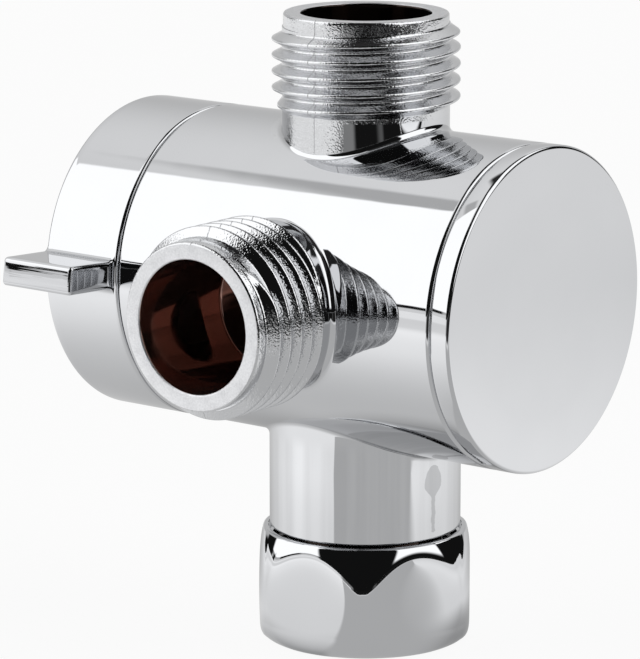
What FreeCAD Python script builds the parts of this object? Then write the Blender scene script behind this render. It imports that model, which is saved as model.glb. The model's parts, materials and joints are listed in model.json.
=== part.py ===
"""Three-way shower diverter valve: a cast body with a threaded outlet on top, a threaded outlet
in front and a swivel inlet nut below. A lever knob on the left end turns a rotor inside the body,
and a spring-loaded seal on the rotor closes one outlet or neither."""

import FreeCAD, Part
import math
import os

Vector = FreeCAD.Vector

# Lengths are in millimetres and angles in degrees. X runs along the body from the knob to the end
# cap, the front outlet points along -Y and the top outlet along +Z. The sketches below put the
# body's axis on X. Saving lifts everything so that Z = 0 is the mouth of the inlet nut.

# Parallel pipe thread of half-inch size, shared by both outlets and the inlet nut
thread_radius = 10.4775
thread_minor_radius = 9.3155
thread_pitch = 1.814
thread_clearance = 0.07

# Body casting
body_radius = 18.0
body_wall = 4.0
body_left_length = 21.1
body_right_length = 22.0
left_wall = 7.1
body_left_round = 0.4
body_right_round = 0.3
root_round = 0.8

# Outlets
outlet_reach = 12.5
outlet_turns = 5
rim_length = 1.6
rim_radius = 9.2
rim_round = 0.3
thread_setback = 0.15
outlet_bore_radius = 7.25
port_radius = 5.25
port_length = 2.8

# Inlet neck and swivel nut
neck_margin = 0.32
neck_length = 9.8
inlet_bore_radius = 6.0
nut_height = 12.7
nut_wall = 1.37
nut_corner_margin = 0.9
nut_crown_height = 5.2
nut_crown_radius = 19.0
nut_foot_round = 1.3
nut_turn = 6.0
nut_turns = 4
nut_mouth_chamfer = 0.4
nut_recess_depth = 0.6
nut_recess_gap = 0.15
nut_web = 1.8
nut_float = 0.1
tail_margin = 0.5
tail_lip = 0.7
snap_ring_width = 0.9
snap_ring_depth = 0.8
snap_ring_stand = 0.4
snap_ring_opening = 24.0
inlet_washer_thickness = 1.7
inlet_washer_gap = 0.6

# End cap
cap_thickness = 2.6
cap_round = 0.65
cap_seam_round = 0.3
cap_seat_step = 1.6
cap_spigot_length = 6.0
cap_spigot_wall = 4.0
cap_floor = 3.5
cap_groove_width = 2.2
cap_groove_depth = 1.5

# Rotor and stem
rotor_disc = 3.0
rotor_core_radius = 5.0
stem_radius = 4.95
stem_groove_width = 1.7
stem_groove_depth = 1.2
stem_groove_inset = 1.5
stem_groove_spacing = 3.1
thrust_washer_thickness = 0.6
thrust_washer_margin = 1.0
square_length = 5.6

# Port seal carried by the rotor
seal_overlap = 1.3
seal_pad_thickness = 3.3
seal_sleeve_wall = 1.4
piston_length = 2.8
piston_stand = 0.6
spring_height = 1.3
spring_thickness = 0.5
spring_eye_radius = 3.0

# Lever knob
knob_length = 10.65
knob_gap = 0.15
knob_round = 0.4
knob_end_round = 0.5
rest_lift = 3.1
lever_reach = 7.4
lever_thickness = 3.2
lever_setback = 0.45
lever_end_inset = 0.05
lever_round = 0.45
lever_root_depth = 5.0
slip_washer_thickness = 0.4
hub_wall = 2.2
screw_pocket_depth = 4.4
screw_washer_thickness = 0.8
screw_radius = 2.0
screw_length = 10.0
screw_head_radius = 3.6
screw_head_height = 2.0
screw_slot_width = 0.9
screw_slot_depth = 0.9
plug_thickness = 1.2
plug_round = 0.2

# Stop pin that limits the knob's turn
stop_pin_radius = 1.25
stop_pin_inset = 6.5
stop_pin_seat = 4.0
stop_pin_stand = 3.0
stop_pocket_wall = 3.4
stop_pocket_depth = 6.0
knob_travel = 180.0

# Clearances
running_gap = 0.05
press_gap = 0.02
face_gap = 0.05
seal_gap = 0.08
stop_gap = 0.1

# Sizes worked out from the ones above
thread_flank = thread_pitch / 3
thread_crest = thread_pitch / 6
chamber_radius = body_radius - body_wall
chamber_left = -body_left_length + left_wall
outlet_mouth = body_radius + outlet_reach
outlet_floor = chamber_radius + port_length
rim_bottom = outlet_mouth - rim_length
top_ridge = rim_bottom - thread_setback - thread_flank - thread_crest / 2
bottom_ridge = top_ridge - (outlet_turns - 1) * thread_pitch
relief_top = bottom_ridge - thread_crest / 2 - thread_flank
neck_radius = thread_radius + neck_margin
tail_radius = thread_minor_radius - tail_margin
nut_top = -body_radius - neck_length
nut_mouth = nut_top - nut_height
nut_half_flat = thread_radius + nut_wall
nut_corner_radius = nut_half_flat + nut_corner_margin
neck_shoulder = nut_top - nut_recess_depth + nut_float
nut_web_bottom = nut_top - nut_recess_depth - nut_web
snap_ring_top = nut_web_bottom - nut_float
snap_ring_bottom = snap_ring_top - snap_ring_width
tail_end = snap_ring_bottom - face_gap - tail_lip
inlet_washer_top = tail_end - face_gap
cap_bore_radius = chamber_radius + cap_seat_step
cap_inner_face = body_right_length - cap_spigot_length
rotor_left = chamber_left + thrust_washer_thickness + 2 * face_gap
rotor_right = cap_inner_face - thrust_washer_thickness - 2 * face_gap
rotor_radius = chamber_radius - seal_gap
stem_bore_radius = stem_radius + running_gap
square_half = stem_radius / math.sqrt(2)
seal_radius = port_radius + seal_overlap
seal_bore_radius = seal_radius + running_gap
piston_top = rotor_radius - seal_pad_thickness
piston_base = piston_top - piston_length
seal_sleeve_top = piston_top - piston_stand
seal_bore_floor = piston_base - spring_height - 2 * face_gap
knob_right = -body_left_length - knob_gap
knob_left = knob_right - knob_length
hub_face = -body_left_length - slip_washer_thickness - 2 * face_gap
square_end = hub_face - square_length
screw_pocket_floor = knob_left + screw_pocket_depth
hub_radius = stem_radius + hub_wall
screw_pocket_radius = hub_radius - running_gap
screw_washer_left = screw_pocket_floor - screw_washer_thickness
slip_washer_right = -body_left_length - face_gap
stop_pin_orbit = body_radius - stop_pin_inset


def face_through(points):
    """Flat face inside a closed run of straight edges."""
    return Part.Face(Part.makePolygon(points + [points[0]]))


def turned_on_x(points):
    """Solid turned about X from (place along X, radius) pairs."""
    outline = [Vector(place, 0, radius) for place, radius in points]
    return face_through(outline).revolve(Vector(0, 0, 0), Vector(1, 0, 0), 360)


def turned_on_z(points):
    """Solid turned about Z from (place along Z, radius) pairs."""
    outline = [Vector(radius, 0, place) for place, radius in points]
    return face_through(outline).revolve(Vector(0, 0, 0), Vector(0, 0, 1), 360)


def rod_on_x(radius, left, right, y=0.0):
    """Cylinder along X between two places, on the body's axis or beside it."""
    return Part.makeCylinder(radius, right - left, Vector(left, y, 0), Vector(1, 0, 0))


def rod_on_z(radius, bottom, top):
    """Cylinder along Z between two heights."""
    return Part.makeCylinder(radius, top - bottom, Vector(0, 0, bottom))


def ring_on_x(inner, outer, left, right):
    """Flat washer whose hole runs along X."""
    return rod_on_x(outer, left, right).cut(rod_on_x(inner, left, right))


def to_front(shape):
    """Copy of a shape made on the top outlet's axis, swung round to the front outlet's axis."""
    front = shape.copy()
    front.rotate(Vector(0, 0, 0), Vector(1, 0, 0), 90)
    return front


def circles_at(shape, radius, place, axis):
    """Circular edges of a given radius in the plane at a place along an axis (0 for X, 2 for Z)."""
    found = []
    for edge in shape.Edges:
        if not isinstance(edge.Curve, Part.Circle):
            continue
        centre = edge.Curve.Center
        if abs(edge.Curve.Radius - radius) < 1e-4 and abs(centre[axis] - place) < 1e-4:
            found.append(edge)
    return found


def thread_ridges(bottom, turns):
    """Outer thread drawn as level ridges with flat crests, as (height, radius) pairs going up."""
    points = []
    for turn in range(turns):
        middle = bottom + turn * thread_pitch
        points += [(middle - thread_crest / 2 - thread_flank, thread_minor_radius),
                   (middle - thread_crest / 2, thread_radius),
                   (middle + thread_crest / 2, thread_radius),
                   (middle + thread_crest / 2 + thread_flank, thread_minor_radius)]
    return points


def thread_grooves(bottom, turns):
    """Inner thread drawn as level ridges that reach in to the minor radius, going up."""
    root = thread_radius + thread_clearance
    points = []
    for turn in range(turns):
        middle = bottom + turn * thread_pitch
        points += [(middle - thread_crest / 2 - thread_flank, root),
                   (middle - thread_crest / 2, thread_minor_radius),
                   (middle + thread_crest / 2, thread_minor_radius),
                   (middle + thread_crest / 2 + thread_flank, root)]
    return points


def outlet_thread():
    """Threaded sleeve and plain mouth rim of the top outlet."""
    ridges = thread_ridges(bottom_ridge, outlet_turns)
    sleeve = turned_on_z([(relief_top, 0)] + ridges
                         + [(rim_bottom, thread_minor_radius), (rim_bottom, rim_radius),
                            (outlet_mouth, rim_radius), (outlet_mouth, 0)])
    return sleeve.makeFillet(rim_round, circles_at(sleeve, rim_radius, outlet_mouth, 2))


def outlet_passage():
    """Hollow of the top outlet: wide bore from the mouth, then a narrower port to the chamber."""
    bore = rod_on_z(outlet_bore_radius, outlet_floor, outlet_mouth)
    lip = Part.makeCone(outlet_bore_radius, outlet_bore_radius + rim_round, rim_round,
                        Vector(0, 0, outlet_mouth - rim_round))
    return bore.fuse([lip, rod_on_z(port_radius, 0, outlet_floor)])


def valve_body():
    """Casting with both threaded outlets, the inlet neck and the chamber bored from the cap's end."""
    barrel = rod_on_x(body_radius, -body_left_length, body_right_length)
    relief = rod_on_z(thread_minor_radius, 0, relief_top)
    neck = rod_on_z(neck_radius, neck_shoulder, 0)
    blank = barrel.fuse([relief, to_front(relief), neck])
    crossings = [edge for edge in blank.Edges if isinstance(edge.Curve, Part.BSplineCurve)]
    blank = blank.makeFillet(root_round, crossings)
    blank = blank.makeFillet(body_left_round, circles_at(blank, body_radius, -body_left_length, 0))
    blank = blank.makeFillet(body_right_round, circles_at(blank, body_radius, body_right_length, 0))
    groove_radius = tail_radius - snap_ring_depth
    tail = turned_on_z([(tail_end, 0), (tail_end, tail_radius),
                        (snap_ring_bottom - face_gap, tail_radius),
                        (snap_ring_bottom - face_gap, groove_radius),
                        (snap_ring_top + face_gap, groove_radius),
                        (snap_ring_top + face_gap, tail_radius),
                        (neck_shoulder, tail_radius), (neck_shoulder, 0)])
    thread = outlet_thread()
    blank = blank.fuse([thread, to_front(thread), tail])
    passage = outlet_passage()
    hollows = [rod_on_x(chamber_radius, chamber_left, body_right_length),
               rod_on_x(cap_bore_radius, cap_inner_face, body_right_length),
               rod_on_x(stem_bore_radius, -body_left_length, chamber_left),
               rod_on_x(stop_pin_radius + press_gap, -body_left_length,
                        -body_left_length + stop_pin_seat, stop_pin_orbit),
               rod_on_z(inlet_bore_radius, tail_end, 0), passage, to_front(passage)]
    return blank.cut(hollows).removeSplitter()


def end_cap():
    """Plain round cap whose hollow spigot is pressed into the open end of the chamber."""
    face = body_right_length + cap_thickness
    spigot_radius = cap_bore_radius - press_gap
    groove_left = cap_inner_face + (cap_spigot_length - cap_groove_width) / 2
    groove_floor = spigot_radius - cap_groove_depth
    hollow_radius = spigot_radius - cap_spigot_wall
    cap = turned_on_x([(face, 0), (face, body_radius), (body_right_length, body_radius),
                       (body_right_length, spigot_radius),
                       (groove_left + cap_groove_width, spigot_radius),
                       (groove_left + cap_groove_width, groove_floor),
                       (groove_left, groove_floor), (groove_left, spigot_radius),
                       (cap_inner_face, spigot_radius), (cap_inner_face, hollow_radius),
                       (face - cap_floor, hollow_radius), (face - cap_floor, 0)])
    cap = cap.makeFillet(cap_round, circles_at(cap, body_radius, face, 0))
    return cap.makeFillet(cap_seam_round, circles_at(cap, body_radius, body_right_length, 0))


def end_cap_o_ring():
    """Rubber ring in the cap's groove."""
    floor = cap_bore_radius - press_gap - cap_groove_depth
    section = (cap_bore_radius - floor) / 2 - press_gap
    middle = cap_inner_face + cap_spigot_length / 2
    return Part.makeTorus(floor + press_gap + section, section, Vector(middle, 0, 0), Vector(1, 0, 0))


def crown_radius_at(height):
    """Radius of the nut's crowned side at a height above its mouth."""
    rise = height - nut_crown_height
    return nut_corner_radius - nut_crown_radius + math.sqrt(nut_crown_radius ** 2 - rise ** 2)


def nut_blank():
    """Turned outside of the nut: a crowned side with a rounded foot."""
    side_bottom = Vector(crown_radius_at(0), 0, nut_mouth)
    side_middle = Vector(nut_corner_radius, 0, nut_mouth + nut_crown_height)
    side_top = Vector(crown_radius_at(nut_height), 0, nut_top)
    foot = Vector(0, 0, nut_mouth)
    crest = Vector(0, 0, nut_top)
    outline = Part.Wire([Part.LineSegment(foot, side_bottom).toShape(),
                         Part.Arc(side_bottom, side_middle, side_top).toShape(),
                         Part.LineSegment(side_top, crest).toShape(),
                         Part.LineSegment(crest, foot).toShape()])
    blank = Part.Face(outline).revolve(Vector(0, 0, 0), Vector(0, 0, 1), 360)
    return blank.makeFillet(nut_foot_round, circles_at(blank, side_bottom.x, nut_mouth, 2))


def nut_hexagon():
    """Six-sided bar that leaves the nut's spanner flats."""
    corner = nut_half_flat / math.cos(math.pi / 6)
    angles = [math.radians(nut_turn + 60 * side) for side in range(6)]
    corners = [Vector(corner * math.cos(angle), corner * math.sin(angle), nut_mouth) for angle in angles]
    return face_through(corners).extrude(Vector(0, 0, nut_height))


def swivel_nut():
    """Inlet nut with spanner flats, an inner thread and a web that hangs on the neck's snap ring."""
    first_ridge = nut_mouth + nut_mouth_chamfer + thread_crest / 2
    grooves = thread_grooves(first_ridge, nut_turns)[1:]
    relief = thread_radius + thread_clearance
    recess = neck_radius + nut_recess_gap
    eye = tail_radius + running_gap
    hollow = turned_on_z([(nut_mouth, 0), (nut_mouth, thread_minor_radius + nut_mouth_chamfer)] + grooves
                         + [(nut_web_bottom, relief), (nut_web_bottom, eye),
                            (nut_top - nut_recess_depth, eye), (nut_top - nut_recess_depth, recess),
                            (nut_top, recess), (nut_top, 0)])
    return nut_blank().common(nut_hexagon()).cut(hollow)


def nut_snap_ring():
    """Split spring ring in the neck's groove, which carries the nut's web."""
    inner = tail_radius - snap_ring_depth + press_gap
    outer = tail_radius + snap_ring_stand
    ring = rod_on_z(outer, snap_ring_bottom, snap_ring_top)
    ring = ring.cut(rod_on_z(inner, snap_ring_bottom, snap_ring_top))
    half_opening = outer * math.sin(math.radians(snap_ring_opening / 2))
    opening = Part.makeBox(outer, 2 * half_opening, snap_ring_width,
                           Vector(0, -half_opening, snap_ring_bottom))
    return ring.cut(opening)


def inlet_washer():
    """Rubber sealing washer between the neck's end and the pipe, held by the end of the thread."""
    bottom = inlet_washer_top - inlet_washer_thickness
    washer = rod_on_z(thread_radius - inlet_washer_gap, bottom, inlet_washer_top)
    return washer.cut(rod_on_z(inlet_bore_radius, bottom, inlet_washer_top))


def stem_groove_places():
    """Left ends of the two ring grooves in the stem, the inner one first."""
    inner = chamber_left - stem_groove_inset - stem_groove_width
    return [inner, inner - stem_groove_spacing]


def rotor():
    """Moulded rotor: two guide discs on a core, a sleeve for the port seal, and the stem."""
    core = rod_on_x(rotor_core_radius, rotor_left, rotor_right)
    discs = [rod_on_x(rotor_radius, rotor_left, rotor_left + rotor_disc),
             rod_on_x(rotor_radius, rotor_right - rotor_disc, rotor_right)]
    sleeve = rod_on_z(seal_bore_radius + seal_sleeve_wall, 0, seal_sleeve_top)
    stem = rod_on_x(stem_radius, hub_face, rotor_left)
    square = Part.makeBox(hub_face - square_end, 2 * square_half, 2 * square_half,
                          Vector(square_end, -square_half, -square_half))
    solid = core.fuse(discs + [sleeve, stem, square])
    cuts = [rod_on_z(seal_bore_radius, seal_bore_floor, seal_sleeve_top),
            rod_on_x(screw_radius, square_end, screw_washer_left + screw_length)]
    for left in stem_groove_places():
        cuts.append(ring_on_x(stem_radius - stem_groove_depth, stem_radius + running_gap,
                              left, left + stem_groove_width))
    return solid.cut(cuts).removeSplitter()


def stem_o_ring(left):
    """Rubber ring in one of the stem's grooves, clear of the body's bore."""
    floor = stem_radius - stem_groove_depth + press_gap
    section = (stem_radius - floor) / 2
    return Part.makeTorus(floor + section, section, Vector(left + stem_groove_width / 2, 0, 0),
                          Vector(1, 0, 0))


def port_seal():
    """Rubber pad with a curved face that follows the chamber's wall."""
    pad = rod_on_z(seal_radius, piston_top, chamber_radius)
    return pad.common(rod_on_x(rotor_radius, -seal_radius, seal_radius))


def port_seal_piston():
    """Stiff backing of the pad, which slides in the rotor's sleeve on its spring."""
    return rod_on_z(seal_radius, piston_base, piston_top)


def port_seal_spring():
    """Coned disc spring between the sleeve's floor and the piston."""
    floor = seal_bore_floor + face_gap
    ceiling = floor + spring_height
    return turned_on_z([(floor, seal_radius), (floor + spring_thickness, seal_radius),
                        (ceiling, spring_eye_radius), (ceiling - spring_thickness, spring_eye_radius)])


def thrust_washer_left():
    """Slip washer between the rotor and the closed end of the chamber."""
    left = chamber_left + face_gap
    return ring_on_x(stem_bore_radius, rotor_radius - thrust_washer_margin,
                     left, left + thrust_washer_thickness)


def thrust_washer_right():
    """Slip washer between the rotor and the end cap's spigot."""
    left = rotor_right + face_gap
    return ring_on_x(stem_bore_radius, rotor_radius - thrust_washer_margin,
                     left, left + thrust_washer_thickness)


def lever():
    """Flat lever with rounded edges, rooted inside the knob's rim."""
    root = -body_radius + lever_root_depth
    tip = -body_radius - lever_reach
    left = knob_left + lever_end_inset
    right = knob_right - lever_setback
    blade = Part.makeBox(right - left, root - tip, lever_thickness,
                         Vector(left, tip, -lever_thickness / 2))
    outer = [edge for edge in blade.Edges if edge.BoundBox.YMin < root - 1e-4]
    return blade.makeFillet(lever_round, outer)


def stop_pocket():
    """Arc-shaped hollow in the knob whose two ends meet the stop pin at the ends of the travel."""
    spread = math.degrees(math.asin((stop_pin_radius + stop_gap) / stop_pin_orbit))
    inner = hub_radius
    outer = body_radius - stop_pocket_wall
    sketch = face_through([Vector(knob_right, inner, 0), Vector(knob_right, outer, 0),
                           Vector(knob_right - stop_pocket_depth, outer, 0),
                           Vector(knob_right - stop_pocket_depth, inner, 0)])
    half = knob_travel / 2 + spread
    sketch.rotate(Vector(0, 0, 0), Vector(1, 0, 0), -half)
    return sketch.revolve(Vector(0, 0, 0), Vector(1, 0, 0), 2 * half)


def knob():
    """Round knob with its lever, a square drive hole, a screw pocket and the stop pocket."""
    drum = rod_on_x(body_radius, knob_left, knob_right)
    drum = drum.makeFillet(knob_round, circles_at(drum, body_radius, knob_right, 0))
    drum = drum.makeFillet(knob_end_round, circles_at(drum, body_radius, knob_left, 0))
    drive = square_half + running_gap
    square = Part.makeBox(knob_right - screw_pocket_floor, 2 * drive, 2 * drive,
                          Vector(screw_pocket_floor, -drive, -drive))
    hollows = [square, rod_on_x(hub_radius, hub_face, knob_right),
               rod_on_x(hub_radius, knob_left, screw_pocket_floor), stop_pocket()]
    return drum.fuse(lever()).cut(hollows).removeSplitter()


def knob_slip_washer():
    """Slip washer between the knob's hub and the body."""
    return ring_on_x(stem_bore_radius, hub_radius - running_gap,
                     slip_washer_right - slip_washer_thickness, slip_washer_right)


def knob_screw_washer():
    """Flat washer under the screw's head."""
    return ring_on_x(screw_radius + running_gap, screw_pocket_radius, screw_washer_left, screw_pocket_floor)


def knob_screw():
    """Slotted screw that holds the knob on the stem's square."""
    head_left = screw_washer_left - screw_head_height
    head = rod_on_x(screw_head_radius, head_left, screw_washer_left)
    shank = rod_on_x(screw_radius - press_gap, screw_washer_left, screw_washer_left + screw_length - face_gap)
    slot = Part.makeBox(screw_slot_depth, 2 * screw_head_radius, screw_slot_width,
                        Vector(head_left, -screw_head_radius, -screw_slot_width / 2))
    return head.fuse(shank).cut(slot).removeSplitter()


def knob_plug():
    """Round cover pressed into the knob's end over the screw."""
    radius = hub_radius - press_gap
    plug = rod_on_x(radius, knob_left, knob_left + plug_thickness)
    return plug.makeFillet(plug_round, circles_at(plug, radius, knob_left, 0))


def stop_pin():
    """Steel pin pressed into the body's end, on the far side from the lever."""
    left = -body_left_length - stop_pin_stand
    return rod_on_x(stop_pin_radius, left, -body_left_length + stop_pin_seat, stop_pin_orbit)


def save(name, shape, turns_with_knob=False):
    """Writes one piece, turned with the knob where it rides on it, in the valve's own frame."""
    placed = shape.copy()
    if turns_with_knob:
        placed.rotate(Vector(0, 0, 0), Vector(1, 0, 0), -rest_lift)
    placed.translate(Vector(0, 0, -nut_mouth))
    placed.exportStep(os.path.join("parts", name + ".step"))
    print(f"{name}: {len(placed.Solids)} solid, {placed.Volume / 1000:.3f} cm3, valid {placed.isValid()}")


os.makedirs("parts", exist_ok=True)

save("valve_body", valve_body())
save("end_cap", end_cap())
save("end_cap_o_ring", end_cap_o_ring())
save("stop_pin", stop_pin())
save("nut_snap_ring", nut_snap_ring())
save("swivel_nut", swivel_nut())
save("inlet_washer", inlet_washer())

inner_groove, outer_groove = stem_groove_places()
knob_pieces = {
    "rotor": rotor(),
    "stem_o_ring_inner": stem_o_ring(inner_groove),
    "stem_o_ring_outer": stem_o_ring(outer_groove),
    "port_seal": port_seal(),
    "port_seal_piston": port_seal_piston(),
    "port_seal_spring": port_seal_spring(),
    "thrust_washer_left": thrust_washer_left(),
    "thrust_washer_right": thrust_washer_right(),
    "knob": knob(),
    "knob_slip_washer": knob_slip_washer(),
    "knob_screw": knob_screw(),
    "knob_screw_washer": knob_screw_washer(),
    "knob_plug": knob_plug(),
}
for piece_name, piece in knob_pieces.items():
    save(piece_name, piece, turns_with_knob=True)
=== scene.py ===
# %% [markdown]
# # A three-way shower diverter valve
# The real valve is a chromed brass casting: a barrel that lies on its side, two threaded
# outlets, a neck below with a spanner nut, a plain cap on the right and a lever knob on the left.
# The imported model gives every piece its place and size. This lesson gives it its looks: each outer
# piece is modelled again as a clean mesh with rounded edges and real threads, and then plated.

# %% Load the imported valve
import json
import math

import bmesh
import bpy
from mathutils import Matrix, Vector


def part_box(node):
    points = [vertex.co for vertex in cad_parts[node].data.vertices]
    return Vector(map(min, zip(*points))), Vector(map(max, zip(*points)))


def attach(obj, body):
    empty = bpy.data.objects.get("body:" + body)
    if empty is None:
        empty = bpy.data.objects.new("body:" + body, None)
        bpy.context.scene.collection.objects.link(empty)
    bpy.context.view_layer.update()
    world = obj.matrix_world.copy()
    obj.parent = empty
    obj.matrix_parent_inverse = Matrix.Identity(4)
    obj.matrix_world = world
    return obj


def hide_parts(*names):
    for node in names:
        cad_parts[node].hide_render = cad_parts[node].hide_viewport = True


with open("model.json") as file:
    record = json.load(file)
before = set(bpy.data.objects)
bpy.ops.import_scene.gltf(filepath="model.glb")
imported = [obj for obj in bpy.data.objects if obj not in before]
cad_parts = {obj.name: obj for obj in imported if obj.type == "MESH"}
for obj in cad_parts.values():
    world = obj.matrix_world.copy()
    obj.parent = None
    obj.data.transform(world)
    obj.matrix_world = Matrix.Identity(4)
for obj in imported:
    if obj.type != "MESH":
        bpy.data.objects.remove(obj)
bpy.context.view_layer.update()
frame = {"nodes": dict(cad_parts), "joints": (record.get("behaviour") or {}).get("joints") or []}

# %% [markdown]
# ## Places that everything shares
# Blender works in metres, but a fitting like this is measured in millimetres, so sizes are written
# in millimetres and multiplied by `mm` where they meet Blender. Every sketch below puts the crossing
# of the barrel's axis and the outlets' axes at zero. The knob's joint knows how high that crossing
# stands above the floor, so pieces are lifted there last.

# %% Shared sizes
mm = 0.001
axis_height = frame["joints"][0]["pos_m"][2]

body_low, body_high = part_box("valve_body")
barrel_left = body_low.x / mm
barrel_right = body_high.x / mm
barrel_radius = body_high.y / mm
outlet_mouth = (body_high.z - axis_height) / mm
print("barrel from", round(barrel_left, 2), "to", round(barrel_right, 2), "radius", round(barrel_radius, 2))

# %% [markdown]
# ## The camera
# The photograph was taken from the front right, a little above, with a long lens. The valve was
# matched to it by its outline: the turn and rise below put the cap, both outlets and the nut where
# the picture has them. The aim sits a little left of and below the crossing because the photograph's
# middle does, so the lens needs no shift.

# %% Place the camera
camera_turn = math.radians(37.33)
camera_rise = math.radians(11.57)
camera_distance = 462.65 * mm
aim_right = -5.09 * mm
aim_up = -5.29 * mm
focal_length_px = 4135.0
long_side_px = 659

backwards = Vector((math.sin(camera_turn) * math.cos(camera_rise),
                    -math.cos(camera_turn) * math.cos(camera_rise), math.sin(camera_rise)))
rightwards = Vector((math.cos(camera_turn), math.sin(camera_turn), 0))
upwards = backwards.cross(rightwards)
crossing = Vector((0, 0, axis_height))

bpy.ops.object.select_all(action="DESELECT")
bpy.ops.object.camera_add(location=crossing + camera_distance * backwards)
camera = bpy.context.object
camera.name = "photo_camera"
aim = crossing + aim_right * rightwards + aim_up * upwards
camera.rotation_euler = (aim - camera.location).to_track_quat("-Z", "Y").to_euler()
camera.data.lens = focal_length_px * camera.data.sensor_width / long_side_px
camera.data.clip_start = 1 * mm
bpy.context.scene.camera = camera
bpy.context.scene.view_settings.view_transform = "Standard"
print("lens", round(camera.data.lens, 1), "mm")

# %% [markdown]
# ## Small helpers for nodes
# Every finish and the studio are node trees. A few helpers keep them readable: they add a node, feed
# a socket with a number or another node's result, do arithmetic, draw a soft step or a soft band,
# mix two values, take a vector apart and turn coordinates to face the camera's side.

# %% Node helpers
def add_node(tree, kind, **settings):
    """Adds a node and sets its options."""
    made = tree.nodes.new(kind)
    for name, value in settings.items():
        setattr(made, name, value)
    return made


def feed(tree, socket, value):
    """Links another node's result to a socket, or sets a plain value on it."""
    if isinstance(value, bpy.types.NodeSocket):
        tree.links.new(value, socket)
    else:
        socket.default_value = value


def maths(tree, operation, first, second=0.0):
    """Arithmetic on two numbers or results."""
    made = add_node(tree, "ShaderNodeMath", operation=operation)
    feed(tree, made.inputs[0], first)
    feed(tree, made.inputs[1], second)
    return made.outputs[0]


def soft_step(tree, value, start, end, low=0.0, high=1.0):
    """A smooth change from low to high as the value goes from start to end."""
    made = add_node(tree, "ShaderNodeMapRange", interpolation_type="SMOOTHSTEP")
    for name, number in (("Value", value), ("From Min", start), ("From Max", end),
                         ("To Min", low), ("To Max", high)):
        feed(tree, made.inputs[name], number)
    return made.outputs["Result"]


def soft_band(tree, value, start, full, last, end):
    """1 while the value lies between full and last, fading to 0 at start and at end."""
    return maths(tree, "MULTIPLY", soft_step(tree, value, start, full),
                 soft_step(tree, value, last, end, low=1.0, high=0.0))


def blend(tree, share, under, over):
    """The lower value where share is 0, the upper one where it is 1."""
    made = add_node(tree, "ShaderNodeMix", data_type="FLOAT")
    for socket, value in zip(made.inputs, (share, None, under, over)):
        if value is not None:
            feed(tree, socket, value)
    return made.outputs[0]


def parts_of(tree, vector):
    """X, Y and Z of a vector."""
    made = add_node(tree, "ShaderNodeSeparateXYZ")
    feed(tree, made.inputs[0], vector)
    return made.outputs["X"], made.outputs["Y"], made.outputs["Z"]


def facing_camera(tree, kind):
    """Coordinates of a kind, turned so that their -Y points to the camera's side."""
    made = add_node(tree, "ShaderNodeVectorRotate", rotation_type="Z_AXIS")
    feed(tree, made.inputs["Vector"], add_node(tree, "ShaderNodeTexCoord").outputs[kind])
    feed(tree, made.inputs["Angle"], -camera_turn)
    return made.outputs[0]


# %% [markdown]
# ## The studio
# Chrome has almost no colour of its own: it looks like chrome because of what it mirrors. Here that
# is a pale room with a tall soft box on each side and a dark camera side between them. The left box
# stands on a pale sill with a dark gap above it, is narrower at its top, and has a duller frame at
# one corner. The right box has a lower part that comes round towards the camera. A dark panel hangs
# overhead. Lamps close by could do this, but boxes painted on the world by direction mirror cleanly
# and keep the light plain. Only camera rays see a pure white room.

# %% Directions in the studio
world = bpy.data.worlds.new("studio")
bpy.context.scene.world = world
world.use_nodes = True
sky = world.node_tree
sky.nodes.clear()

to_right, to_back, to_top = parts_of(sky, facing_camera(sky, "Generated"))
to_front = maths(sky, "MULTIPLY", to_back, -1.0)
bearing = maths(sky, "DEGREES", maths(sky, "ARCTAN2", to_right, to_front))
rise = maths(sky, "DEGREES", maths(sky, "ARCSINE", to_top))


def soft_window(low_bearing, high_bearing, low_rise, high_rise, side_blur, end_blur):
    """1 inside a range of bearings and rises (degrees from the camera's side), fading at its edges."""
    across = soft_band(sky, bearing, low_bearing - side_blur, low_bearing + side_blur,
                       high_bearing - side_blur, high_bearing + side_blur)
    upright = soft_band(sky, rise, low_rise - end_blur, low_rise + end_blur,
                        high_rise - end_blur, high_rise + end_blur)
    return maths(sky, "MULTIPLY", across, upright)


print("directions measured from", round(math.degrees(camera_turn), 1), "degrees right of the front")

# %% Soft boxes and dark panels, each over the last
dark_light = 0.01
overhead_light = 0.04
frame_light = 0.75
sill_light = 1.18
box_light = 2.0

# Each window: bearings from and to, rises from and to, then the blur of its sides and of its ends.
dark_front = soft_window(-57, 132, -1, 62, 1.5, 1)
dark_left = soft_window(-134, -115, -1, 8, 2, 1)
overhead = maths(sky, "MULTIPLY", soft_band(sky, to_right, -0.34, -0.28, 0.38, 0.46),
                 soft_step(sky, to_top, 0.78, 0.82))
left_sill = soft_window(-116, -56, -5, 0.9, 1.5, 0.3)
left_frame = soft_window(-119, -104, 50, 58, 2, 1.5)
left_box = soft_window(-116, -56, 2.4, 44, 1.5, 0.3)
left_top = soft_window(-106.5, -56, 40, 60, 1.0, 0.3)
left_gap = soft_window(-95, -69, 0.9, 2.4, 2, 0.3)
right_box = soft_window(57, 122, 27, 75, 1.5, 1)
right_low = soft_window(40, 86, 5, 75, 2, 2)

glow = soft_step(sky, rise, 10, 62, low=0.75, high=1.3)
for window, light in ((dark_front, dark_light), (dark_left, dark_light), (overhead, overhead_light),
                      (left_sill, sill_light), (left_frame, frame_light), (left_box, box_light),
                      (left_top, box_light), (left_gap, dark_light), (right_box, box_light),
                      (right_low, box_light)):
    glow = blend(sky, window, glow, light)
light_path = add_node(sky, "ShaderNodeLightPath")
glow = blend(sky, light_path.outputs["Is Camera Ray"], glow, 1.0)
background = add_node(sky, "ShaderNodeBackground")
feed(sky, background.inputs["Strength"], glow)
feed(sky, add_node(sky, "ShaderNodeOutputWorld").inputs["Surface"], background.outputs[0])
print("studio painted with", len(sky.nodes), "nodes")

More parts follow.
